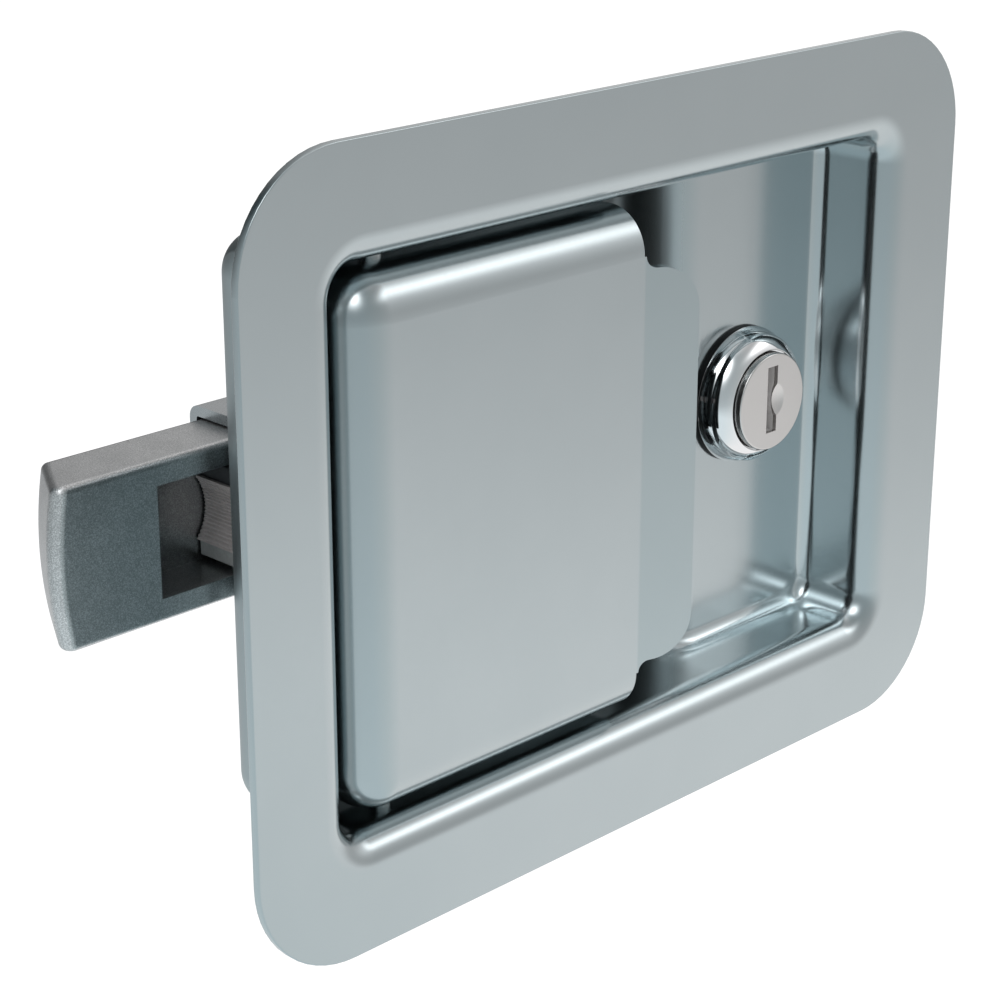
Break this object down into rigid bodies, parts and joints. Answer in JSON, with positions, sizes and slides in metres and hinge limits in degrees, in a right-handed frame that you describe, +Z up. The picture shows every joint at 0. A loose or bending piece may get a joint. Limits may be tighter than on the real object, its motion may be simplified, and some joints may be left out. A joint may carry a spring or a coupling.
{
  "type": "push-to-close latch",
  "caption": "Flush paddle latch in a drawn pan: the sprung slant-ended bolt slams shut, the pulled paddle draws it back, and a key lock sits in the shallow half.",
  "frame": {"origin": "centre of the flange's back face, which is also the centre of the stud pattern", "axes": "+X towards the lock end, away from the bolt; +Y into the panel; +Z up"},
  "size_m": [0.1241, 0.0326, 0.0888],
  "materials": {
    "pan_steel": "satin bright plating on drawn sheet",
    "paddle_steel": "satin bright plating on drawn sheet",
    "bracket_steel": "plain rolled sheet",
    "block_steel": "plain machined steel",
    "bolt_casting": "tumbled casting with a fine sparkling grain",
    "fastener_steel": "bright plated fasteners",
    "spring_steel": "drawn spring wire and clip strip",
    "lock_chrome": "polished plating",
    "plug_nickel": "fine satin face",
    "wafer_brass": "stamped strip"
  },
  "bodies": {
    "frame": {"pan": "pan_steel", "mounting_studs": "fastener_steel", "hinge_pin": "fastener_steel", "pin_clips": "spring_steel", "guide_bracket": "bracket_steel", "bracket_rivets": "fastener_steel", "bolt_spring": "spring_steel", "spring_washer": "fastener_steel", "lock_housing": "lock_chrome", "lock_washer": "fastener_steel", "lock_nut": "fastener_steel"},
    "paddle": {"paddle": "paddle_steel", "paddle_lever": "block_steel", "paddle_spring": "spring_steel"},
    "drive": {"drive_block": "block_steel", "drive_rod": "fastener_steel"},
    "bolt": {"bolt": "bolt_casting"},
    "lock_plug": {"lock_plug": "plug_nickel", "lock_wafers": "wafer_brass", "wafer_springs": "spring_steel", "lock_cam": "fastener_steel", "cam_washer": "fastener_steel", "cam_screw": "fastener_steel"}
  },
  "joints": [
    {"name": "paddle_hinge", "type": "hinge", "parent": "frame", "child": "paddle", "pos_m": [-0.0344, 0.006, 0], "axis": [0, 0, -1], "range_deg": [0, 36], "stiffness_Nm_per_rad": 0.004, "springref_deg": -28.65, "deforming": ["paddle_spring"]},
    {"name": "drive_slide", "type": "slide", "parent": "frame", "child": "drive", "axis": [1, 0, 0], "range_m": [0, 0.0098]},
    {"name": "bolt_slam", "type": "slide", "parent": "drive", "child": "bolt", "axis": [1, 0, 0], "range_m": [0, 0.009], "stiffness_N_per_m": 250, "springref_m": -0.004, "deforming": ["bolt_spring"]},
    {"name": "lock_turn", "type": "hinge", "parent": "frame", "child": "lock_plug", "pos_m": [0.0305, 0.0048, 0], "axis": [0, -1, 0], "range_deg": [0, 90]}
  ],
  "couplings": [
    {"joint": "paddle_hinge", "follows": "drive_slide", "rad_per_m": 64}
  ]
}
